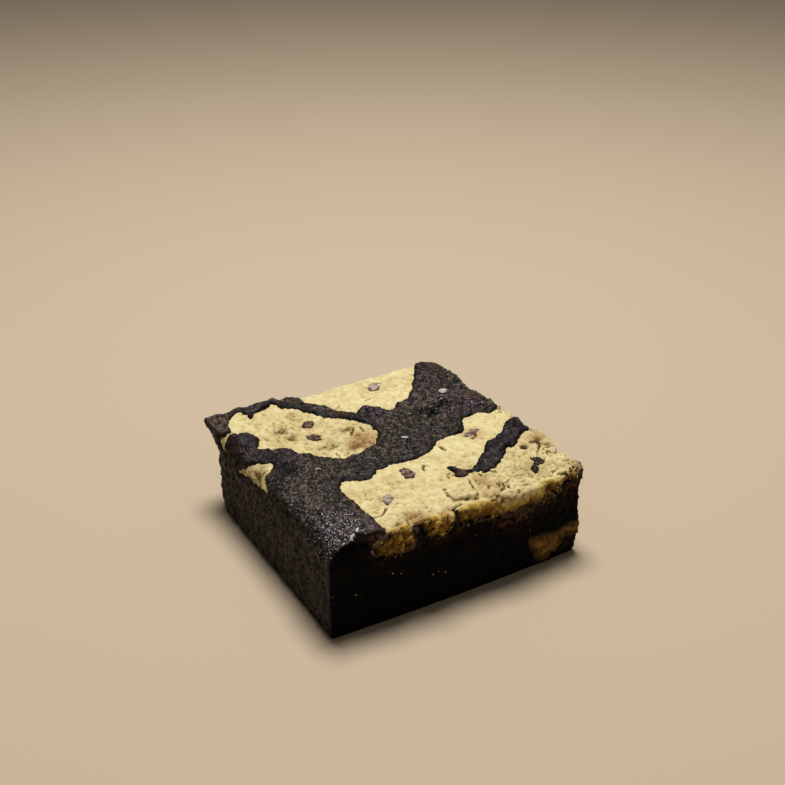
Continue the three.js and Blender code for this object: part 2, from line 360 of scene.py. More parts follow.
def doughInside(points, dough):  # mm inside a piece of dough, negative in brownie
    x, y, z = points.T
    if "face" in dough:
        inside = insideBy(points[:, [0, 2]], smoothOutline(dough["face"]))
        gone = np.clip((y - front) / dough["reach"], 0, 2)
        return inside - dough["taper"] * gone**2
    drop = slab["height"] - z
    inside = np.full(len(points), farOut)
    if "outline" in dough:
        plan = points[:, :2].copy()
        depth = dough["depth"]
        atCut = 0.0
        if "cutDepth" in dough:
            atCut = 1 - smooth(y, front + 0.5, front + 3)
            atEnd = 1 - smooth(x, -22, -12)
            plan[:, 0] += dough["lean"] * atCut * smooth(drop, 0.5, 3.5) * atEnd
        inside = insideBy(plan, smoothOutline(dough["outline"]))
        if "cutDepth" in dough:
            inside = np.minimum(inside, -insideBy(plan, smoothOutline(streak)))
            along, depths = np.array(dough["cutDepth"], float).T
            depth = between(
                np.interp(x, along, depths), depth, smooth(y, front + 2, front + 14))
        share = 0.55 + 0.45 * np.maximum(smooth(inside, 0.0, 4.0), atCut)
        inside = np.minimum(inside, share * depth - drop)
    if "rolled" in dough:
        unrolled = np.stack([x - left - drop, y], 1)
        inside = np.maximum(inside, insideBy(unrolled, smoothOutline(dough["rolled"])))
    return inside


def makePiece(name, points, faces, materials, faceMaterial=None, values=None):
    mesh = bpy.data.meshes.new(name)
    mesh.from_pydata((points * mm).tolist(), [], faces)
    for material in materials:
        mesh.materials.append(material)
    if faceMaterial is not None:
        mesh.polygons.foreach_set("material_index", faceMaterial.astype(np.int32))
    for key, numbers in (values or {}).items():
        layer = mesh.attributes.new(key, "FLOAT", "POINT")
        layer.data.foreach_set("value", numbers.astype(np.float32))
    mesh.polygons.foreach_set("use_smooth", [True] * len(mesh.polygons))
    mesh.update()
    piece = bpy.data.objects.new(name, mesh)
    bpy.context.scene.collection.objects.link(piece)
    return piece


def linear(hexCode):  # an sRGB hex colour as linear values
    channels = [int(hexCode[k:k + 2], 16) / 255 for k in (1, 3, 5)]
    return tuple(
        c / 12.92 if c <= 0.04045 else ((c + 0.055) / 1.055) ** 2.4 for c in channels) + (1.0,)


def addNode(tree, kind, links, stops=(), **settings):
    # links: input name or number to a value, a node's first output or (node, output)
    node = tree.nodes.new("ShaderNode" + kind)
    for key, value in settings.items():
        setattr(node, key, value)
    for key, value in links.items():
        source = value if isinstance(value, tuple) else (value, 0)
        if isinstance(source[0], bpy.types.Node):
            tree.links.new(source[0].outputs[source[1]], node.inputs[key])
        else:
            node.inputs[key].default_value = value
    if stops:
        ramp = node.color_ramp
        while len(ramp.elements) < len(stops):
            ramp.elements.new(0.5)
        for element, (position, colour) in zip(ramp.elements, stops):
            element.position = position
            element.color = linear(colour)
    return node


def newFinish(name):
    material = bpy.data.materials.new(name)
    material.use_nodes = True
    material.node_tree.nodes.clear()
    add = partial(addNode, material.node_tree)
    place = (add("TexCoord", {}), "Object")

    def scaled(size):  # where a pattern lies, with features of this many mm
        return {"Vector": place, "Scale": 1 / (size * mm)}

    return material, add, scaled


def closeFinish(add, colour, roughness, ior, bumps=()):
    # bumps: height, strength and depth in mm, coarsest first
    normal = {}
    for height, strength, depth in bumps:
        normal = {"Normal": add("Bump", {
            "Strength": strength, "Distance": depth * mm, "Height": height, **normal})}
    shader = add("BsdfPrincipled", {
        "Base Color": colour, "Roughness": roughness, "IOR": ior, **normal})
    add("OutputMaterial", {"Surface": shader})


def makeCrustFinish():
    # brownie crust: cocoa batter that baked to a thin sugary skin. To the eye it
    # is a dark, slightly greyish brown, rough with fine grains that glint. The glints
    # are painted into the colour as pale sugar specks: painted highlights. The sugar
    # is drawn coarser than real crystals, which would be too fine to show
    crust = {"patch": 6.0, "grain": 0.75, "speck": 0.5, "sugar": 0.45, "deep": "#050302",
             "plain": "#32281f", "worn": "#706358", "paintedGlint": "#dbd6de", "wall": "#1d0f07",
             "ruddy": "#55301f", "paintedVioletSheen": "#dcbcff", "darkWall": 0.76, "ior": 1.29}
    material, add, scaled = newFinish("bakedBrownieCrust")
    patch, speck = (
        add("TexNoise", {**scaled(crust[key]), "Detail": detail, "Roughness": 0.6})
        for key, detail in (("patch", 3.0), ("speck", 2.0)))
    grain, sugar = (add("TexVoronoi", scaled(crust[key])) for key in ("grain", "sugar"))
    rise, glossAndGlints, top, grainy, paintedGlintShare, ruddy, paintedVioletSheen = (
        (add("Attribute", {}, attribute_name=key), "Fac")
        for key in ("rise", "glossAndGlints", "top", "grainy", "paintedGlintShare", "ruddy", "paintedVioletSheen"))
    raised, glintCrystal = (add("MapRange", {
        "Value": cell, "From Min": low, "From Max": high, "To Min": 1.0, "To Max": 0.0})
        for cell, low, high in ((grain, 0.05, 0.65), (sugar, 0.2, 0.4)))
    pebbled = add("Mix", {0: grainy, 2: 0.4, 3: raised})
    dusted = add("Mix", {0: grainy, 2: 0.47, 3: speck})
    # painted light and shade: lighter on raised grains and on what stands up, darker in gaps and
    # hollows, with the crust's own patchy tone
    lit = rise
    for part, weight in ((patch, 0.4), (pebbled, 0.35), (dusted, 1.0), (top, 0.16)):
        lit = add("Math", {0: part, 1: weight, 2: lit}, operation="MULTIPLY_ADD")
    tone = add("MapRange", {"Value": lit, "From Min": 1.05, "From Max": 1.85})
    # deep end: painted shade in gaps and hollows; pale end: painted light on raised grains, and
    # the crust's own tone
    colour = add("ValToRGB", {"Fac": tone}, [
        (0.14, crust["deep"]), (0.52, crust["plain"]), (0.9, crust["worn"])])
    # pale sugar specks painted into the colour: painted glints, more where glossy
    sparse = add("SeparateColor", {"Color": (sugar, "Color")})
    chosen = add("Math", {0: glossAndGlints, 1: 0.5, 2: sparse}, operation="MULTIPLY_ADD")
    kept = add("MapRange", {"Value": chosen, "From Min": 0.95, "From Max": 1.1})
    glintSpecks = add("Math", {0: glintCrystal, 1: kept}, operation="MULTIPLY")
    glintsOnCrust = add("Math", {0: glintSpecks, 1: paintedGlintShare}, operation="MULTIPLY")
    baked = add("Mix", {0: crust["darkWall"], 6: colour, 7: linear(crust["wall"])},
                data_type="RGBA")
    mixed = add("Mix", {0: top, 6: (baked, 2), 7: colour}, data_type="RGBA")
    for share, shade, blend in (
            (paintedVioletSheen, "paintedVioletSheen", "MULTIPLY"), (ruddy, "ruddy", "MIX"), (glintsOnCrust, "paintedGlint", "MIX")):
        mixed = add("Mix", {0: share, 6: (mixed, 2), 7: linear(crust[shade])},
                    data_type="RGBA", blend_type=blend)
    rough = add("MapRange", {
        "Value": speck, "From Min": 0.35, "From Max": 0.65, "To Min": 0.62, "To Max": 0.36})
    sleeked = add("Mix", {0: grainy, 2: 0.6, 3: rough})
    glossy = add("Math", {0: glossAndGlints, 1: -0.16, 2: sleeked}, operation="MULTIPLY_ADD",
                 use_clamp=True)
    closeFinish(add, (mixed, 2), glossy, crust["ior"], [
        (pebbled, 1.0, 0.35), (dusted, 1.0, 0.3)])
    return material


def makeCrumbFinish(name, crumb):
    # brownie crumb: the moist dark inside, opened with a knife. To the eye it is
    # almost black and porous, and gives back very little light; the colours given for
    # the knife cuts are darker still than real crumb, painted shade. Butter from the
    # dough soaked into it and browned it, and loose bits of it have dried out
    material, add, scaled = newFinish(name)
    pores = add("TexNoise", {**scaled(crumb["pore"]), "Detail": 5.0, "Roughness": 0.65})
    grain = add("TexVoronoi", scaled(crumb["grain"]))
    soaked = add("Attribute", {}, attribute_name="soaked")
    colour = add("ValToRGB", {"Fac": pores}, [
        (0.32, crumb["deep"]), (0.52, crumb["plain"]), (0.75, crumb["dry"])])
    buttery = add("Mix", {0: (soaked, "Fac"), 6: colour, 7: linear(crumb["butter"])},
                  data_type="RGBA")
    closeFinish(add, (buttery, 2), 0.7, crumb["ior"], [(pores, 0.9, 0.4), (grain, 0.6, 0.15)])
    return material


def makeDoughFinish():
    # cookie dough: butter, flour and sugar, dropped in lumps and baked. To the eye
    # it is a matt, sandy straw yellow, golden where it browned, buttery and then
    # toffee brown where the knife opened it. How dark the browns get down a cut is
    # partly painted shade, as the cut faces away from the light
    dough = {"patch": 5.0, "crumb": 0.8, "grain": 0.42, "pale": "#efdfa8", "plain": "#dfcc92",
             "dull": "#c3ac73", "gap": "#6f5629", "gold": "#bd9861", "umber": "#7a5a30",
             "fudge": "#85621f", "butter": "#c49f3a", "cream": "#dcbd60",
             "toffee": "#835c13", "syrup": "#b98e2a", "burnt": "#39260a", "darkened": "#140c06",
             "roughness": 0.85, "ior": 1.4}
    material, add, scaled = newFinish("bakedCookieDough")
    patch, crumb, grain = (
        add("TexNoise", {**scaled(dough[key]), "Detail": detail, "Roughness": rough})
        for key, detail, rough in (("patch", 4.0, 0.6), ("crumb", 4.0, 0.7), ("grain", 2.0, 0.6)))
    reliefShadeAndMottle, browned, opened, darkened = (
        (add("Attribute", {}, attribute_name=key), "Fac")
        for key in ("rise", "browned", "opened", "darkened"))
    # painted light and shade from the dough's relief, mixed with its own mottling
    for part, weight in ((crumb, 0.5), (grain, 0.4), (patch, 0.3)):
        reliefShadeAndMottle = add("Math", {0: part, 1: weight, 2: reliefShadeAndMottle}, operation="MULTIPLY_ADD")
    tone = add("MapRange", {"Value": reliefShadeAndMottle, "From Min": 0.65, "From Max": 1.4})
    # gap end: painted shade in hollows and cracks; pale end: painted light on lumps, and the
    # dough's own tone
    skin, golden, toffee, buttery = (add("ValToRGB", {"Fac": tone}, [
        (position, dough[shade]) for position, shade in stops]) for stops in (
            ((0.0, "gap"), (0.26, "dull"), (0.55, "plain"), (0.9, "pale")),
            ((0.1, "umber"), (0.7, "gold")),
            ((0.1, "burnt"), (0.5, "toffee"), (0.9, "syrup")),
            ((0.1, "fudge"), (0.5, "butter"), (0.9, "cream"))))
    inward = add("MapRange", {"Value": opened, "From Max": 0.38, "To Max": 0.95})
    deep = add("MapRange", {"Value": opened, "From Min": 0.3})
    mixed = skin
    for share, shade in ((browned, golden), (inward, buttery), (deep, toffee),
                         (darkened, linear(dough["darkened"]))):
        mixed = (add("Mix", {0: share, 6: mixed, 7: shade}, data_type="RGBA"), 2)
    closeFinish(add, mixed, dough["roughness"], dough["ior"], [
        (crumb, 0.8, 0.25), (grain, 0.6, 0.15)])
    return material


def makeChocolateFinish():
    # dark chocolate: a chip that melted and set again in the oven. To the eye it is
    # a smooth brown black with a dull, greyish bloom
    chocolate = {"cloud": 1.1, "dark": "#120a07", "brown": "#3d291f", "dull": "#735c50",
                 "dusty": "#b9a496", "roughness": 0.7, "ior": 1.3}
    material, add, scaled = newFinish("bloomedChocolate")
    cloud = add("TexNoise", {**scaled(chocolate["cloud"]), "Detail": 3.0})
    bloom = add("Attribute", {}, attribute_name="bloom")
    patchy = add("MapRange", {
        "Value": cloud, "From Min": 0.35, "From Max": 0.65, "To Min": -0.28, "To Max": 0.28})
    clouded = add("Math", {0: patchy, 1: (bloom, "Fac")}, operation="ADD")
    colour = add("ValToRGB", {"Fac": clouded}, [
        (0.0, chocolate["dark"]), (0.35, chocolate["brown"]), (0.65, chocolate["dull"]),
        (1.0, chocolate["dusty"])])
    closeFinish(add, colour, chocolate["roughness"], chocolate["ior"], [(cloud, 0.6, 0.2)])
    return material


def makeSugarGlintFinish():
    # flakes of dried sugar glaze that came off the crust. To the eye they are a
    # matt greyish white. They also stand for glints on the crust and in the cut:
    # painted highlights
    sugar = {"cloud": 0.8, "grey": "#a59c93", "white": "#cfc8c0", "roughness": 0.7, "ior": 1.45}
    material, add, scaled = newFinish("sugarGlazeGlints")
    cloud = add("TexNoise", {**scaled(sugar["cloud"]), "Detail": 3.0})
    colour = add("ValToRGB", {"Fac": cloud}, [(0.35, sugar["grey"]), (0.65, sugar["white"])])
    closeFinish(add, colour, sugar["roughness"], sugar["ior"], [(cloud, 0.6, 0.15)])
    return material


crustFinish = makeCrustFinish()
# the cut crumb is drawn darker than real crumb: painted shade of the knife cuts
crumbFinish = makeCrumbFinish("cutBrownieCrumb", {
    "pore": 1.4, "grain": 0.5, "deep": "#020202", "plain": "#080605", "dry": "#15100d",
    "butter": "#6a4421", "ior": 1.14})
dryCrumbFinish = makeCrumbFinish("dryBrownieCrumb", {
    "pore": 1.0, "grain": 0.5, "deep": "#160e0c", "plain": "#443330", "dry": "#7d6755",
    "butter": "#64401f", "ior": 1.25})
doughFinish = makeDoughFinish()
chocolateFinish = makeChocolateFinish()
sugarGlintFinish = makeSugarGlintFinish()
print("finishes made")


# spots are x, y, z, spread and how strong, and z is left out on the flat top
brownieLook = {
    "step": 0.33,  # how far apart its points lie, and up the sides
    "stepUp": 0.58,
    "cutRound": 0.6,  # how far a knife cut's top edge is rounded
    "pocket": 2.6,  # how far the skin dives under dough
    "rimLift": 0.3,  # how far it swells beside dough
    "sleekRim": (0.5, 2.8),  # beside dough it stays smooth: from and to this far out
    "lump": (7, 0.42),  # size and height of each kind of relief
    "pebble": (2.6, 0.40),
    "nub": (1.2, 0.26),
    "grain": (0.9, 0.30),
    "pore": (1.5, 0.40),
    "streak": (1.8, 0.2),  # drawn up the tin's wall
    "knobs": [  # bumps, and hollows below 0
        (3, 18.3, 3, 0.9), (-34, 20, 25.5, 3.2, 0.9), (-24.5, -30, 26.5, 2.6, 0.3),
        (21.4, 11, 1.2, -2.2), (24.4, 11.6, 1, -1.4), (18.3, 8.4, 1.1, -2), (22.6, 13.6, 1.3, 0.8),
        (19.8, 9.8, 0.9, 0.8), (15.4, 10.5, 1.4, -1), (20.4, 14.8, 1.1, 0.8), (17, 11.8, 1.2, 0.7),
        (25.6, 14.4, 1.4, 0.6), (-29, 2, 4, 0.4), (-20, -12.5, 1.6, -0.9), (-31.4, 1.6, 2.6, 0.5),
        (-29.2, 0.2, 1.4, -0.8), (-22, 34.4, 2.6, 0.3), (-15, 32, 2.4, 0.4),
        (-9.6, 26.4, 2.2, 0.4), (-4.6, 21, 2, 0.4), (17, -21, 2.2, 0.5), (21.6, -17, 2.2, 0.6),
        (28, -13.6, 2.4, 0.6), (33.6, -9.6, 3, 0.7), (-28.5, 7.4, 2.2, 0.35),
        (37.5, 17, 25, 3, -0.9), (37.5, 25, 25, 3.5, 0.4), (37.5, 6.5, 25, 3, 0.5),
    ],
    "broken": [  # rougher
        (20.5, 11.6, 4.6, 1.7), (-36, 33, 25.5, 4.5, 0.8), (33, 8, 4, 0.6), (7.4, -21.4, 2.4, 1.2),
        (-32, -30, 6, 0.3),
    ],
    "sleek": [  # where batter flowed and set smooth, with no strength
        (-34, 20, 25.5, 3.6), (-23.8, -31, 2.4), (-23.6, -24, 1.8), (-31.4, 1.6, 2.6),
        (-31, 7.6, 2.2), (-27, 6.8, 2), (17, -21, 3.4), (22, -17, 3.6), (28, -14, 3.4),
        (33.6, -9.6, 3.6),
    ],
    "shaded": [  # darker, and lighter below 0: painted shade in the crater's pits and dents, painted light on the lumps round the pits, elsewhere the crust's own tone
        (-31, 1.4, 2.8, 0.6), (-20.4, -12.6, 1.8, 0.4), (21.4, 11, 1.6, 0.7),
        (24.4, 11.6, 1.2, 0.6), (18.3, 8.4, 1.5, 0.7), (15.4, 10.5, 1.4, 0.3),
        (22.6, 13.8, 1.2, -0.25), (19.9, 9.9, 0.8, -0.25), (17.4, 12.2, 1.1, -0.25),
        (26, 14.6, 1.2, -0.2), (22, 20, 12, -0.04), (-37, 32, 5, -0.22), (-31, 7.6, 2, 0.2),
        (-36, 5, 22, 5, 0.15), (22, -17, 7, 0.06), (34, -10, 4, 0.06),
    ],
    "chipDepth": 1.3,
    "chipped": [  # where crust broke off along the front cut, with no strength
        (-36.4, -37.4, 25.6, 1.8), (-32.4, -37.6, 2.2), (-28.6, -37.2, 26.2, 2.8),
        (-25.4, -36.8, 3.2), (-22.4, -36.8, 25.6, 2.6),
    ],
    "soaked": [  # crumb browned by butter under the dough at the cuts
        (11, -37.5, 20.6, 3, 0.8), (13.6, -37.5, 19.2, 2.8, 1), (18, -37.5, 18.8, 3, 1.1),
        (25, -37.5, 20.8, 3, 0.75), (30, -37.5, 21.4, 2.8, 0.65), (34.5, -37.5, 22.6, 3.6, 0.55),
        (-24.6, -37.5, 24.8, 2.6, 0.6), (-22.6, -37.5, 21, 3, 0.45), (-14, -37.5, 21, 2.4, 0.35),
        (-7, -37.5, 20.8, 2.4, 0.5), (-2, -37.5, 21.6, 2.2, 0.4), (26, -37.5, 1.6, 3, 0.25),
        (34, -37.5, 4.6, 3, 0.25), (37.6, -31, 21.6, 3, 0.6), (37.6, -25, 20.8, 3, 0.5),
        (37.6, -17, 21, 2.6, 0.6), (37.6, -2, 20.4, 2.6, 0.5), (37.6, -30, 5, 3, 0.3),
    ],
    "glossyWithGlints": [  # glossier, with more painted glints of sugar
        (-29.5, -30, 26.5, 8, 1), (-31.5, -29.5, 4, 0.5), (-36, -33, 24, 3.5, 0.8),
        (-30, -12, 8, 0.2), (-26, 3, 6, 0.15), (34, -9, 6, 0.3), (22, -16, 7, 0.2),
        (31, 7, 4.5, 0.4), (4, 18, 4, 0.3),
    ],
    "paintedVioletSheen": [  # a violet cast: a painted reflection, the sheen of glossy crust
        (-34, 20, 25.5, 4.5, 1), (-26, 36, 5, 0.9), (-28, 8, 6, 0.7), (4, 17.5, 4, 1),
        (25, 30, 6, 0.7), (30, 8, 7, 0.8), (20, -17, 4.5, 0.9), (28, -12, 4.5, 1), (34, -9, 4, 1),
        (6, -6, 4, 0.4), (-32, -30, 7, 0.45),
    ],
    "ruddy": [  # reddish
        (-23.6, -33, 25.6, 2.6, 0.7), (-23.2, -25, 1.6, 0.5), (-36.5, 33, 25.5, 4, 0.5),
        (-4.4, 20.6, 2.4, 0.6), (8, -23.4, 1.5, 0.7), (-34, 1.6, 25.5, 1.4, 0.6), (34, 33, 3, 0.5),
        (35, 11, 3.4, 0.5),
    ],
}


def bakeBrownie(look):
    points, quads, base = makeSkin(look["step"], look["stepUp"], look["cutRound"])
    normals = normalsOf(points, quads)
    out, away, _ = normals.T
    inside = np.full(len(points), farOut)
    for dough in doughs.values():
        inside = np.maximum(inside, doughInside(points, dough))
    inside = inside + wobbled(points)
    cut = np.maximum(smooth(-away, 0.6, 0.9), smooth(out, 0.6, 0.9))
    wall = np.maximum(smooth(-out, 0.5, 0.95), smooth(away, 0.5, 0.95))
    sleek = blobs(points, [spot + (0.9,) for spot in look["sleek"]])
    sleek = np.maximum(sleek, 0.75 * (1 - smooth(-inside, *look["sleekRim"])))
    grainy = 1 - np.clip(sleek, 0, 0.95)
    rugged = 1 + blobs(points, look["broken"])
    lump, pebble, nub, grain, pore = (
        look[key] for key in ("lump", "pebble", "nub", "grain", "pore"))
    pebbles = ruffle(points, pebble[0], 2, seed=4)
    streaks = ruffle(points * (1, 1, 0.8), look["streak"][0], 2, seed=11)
    coarse = lump[1] * ruffle(points, lump[0], 2, seed=3) * (1 - 0.5 * cut)
    coarse += blobs(points, look["knobs"])
    chipped = blobs(points, [spot + (1.0,) for spot in look["chipped"]])
    coarse -= look["chipDepth"] * chipped
    coarse += look["rimLift"] * np.exp(-((inside + 1.2) / 0.9) ** 2) * (1 + pebbles)
    relief = pebble[1] * pebbles * (1 - 0.6 * cut) * rugged + look["streak"][1] * streaks * wall
    relief += nub[1] * ruffle(points, nub[0], 2, seed=21) * (1 - 0.3 * cut) * (
        0.3 + 0.7 * grainy) * rugged
    relief += grain[1] * (grains(points, grain[0], seed=5) - 0.5) * (1 - 0.4 * cut) * grainy
    relief -= pore[1] * smooth(ruffle(points, pore[0], 2, seed=6), 0.15, 0.5) * (cut + wall)
    # painted shade in the hollows and painted light on what stands up, from the relief
    rise = 0.5 + 1.6 * standing(relief, quads, 5) * (1 - 0.55 * wall) + 0.1 * pebbles
    # painted shade where the brownie meets the dough; darker where smooth and at shaded spots
    rise -= 0.25 * smooth(inside, -0.9, 0.0) + 0.1 * (1 - grainy) + blobs(points, look["shaded"])
    relief += coarse - look["pocket"] * smooth(inside, -0.2, 1.3)
    relief *= smooth(points[:, 2], 0.0, 0.6)
    shaped = points + normals * relief[:, None]
    faces = quads.tolist()
    faces.append(base[::-1].tolist())
    opened = cut + chipped * (0.9 + 0.5 * pebbles)
    cutQuad = opened[quads].mean(1) > 0.5
    soaked = blobs(points, look["soaked"]) * smooth(ruffle(points, 1.3, 3, seed=28), -0.35, 0.5)
    # a violet cast painted into the crust: a painted reflection
    paintedVioletSheen = blobs(points, look["paintedVioletSheen"])
    top = 1 - np.maximum(cut, wall)
    # glossier places, with more painted glints; then where painted glints may show
    glossAndGlints = np.clip(blobs(points, look["glossyWithGlints"]), 0, 1.3)
    paintedGlintShare = grainy * (1 - cut) * np.maximum(top, np.clip(1.5 * glossAndGlints, 0, 1))
    ruddy = blobs(points, look["ruddy"]) * (0.8 + 0.6 * pebbles) * top
    return makePiece("brownie_skin", shaped, faces, [crustFinish, crumbFinish],
                     np.append(cutQuad, True), {
                         "rise": np.clip(rise, 0, 1), "glossAndGlints": glossAndGlints, "top": top,
                         "grainy": grainy, "paintedGlintShare": paintedGlintShare, "ruddy": np.clip(ruddy, 0, 0.8),
                         "soaked": np.clip(soaked, 0, 1), "paintedVioletSheen": np.clip(paintedVioletSheen, 0, 1)})


brownie = bakeBrownie(brownieLook)
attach(brownie, "root")
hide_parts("brownie")
print("brownie made,", len(brownie.data.polygons), "faces")


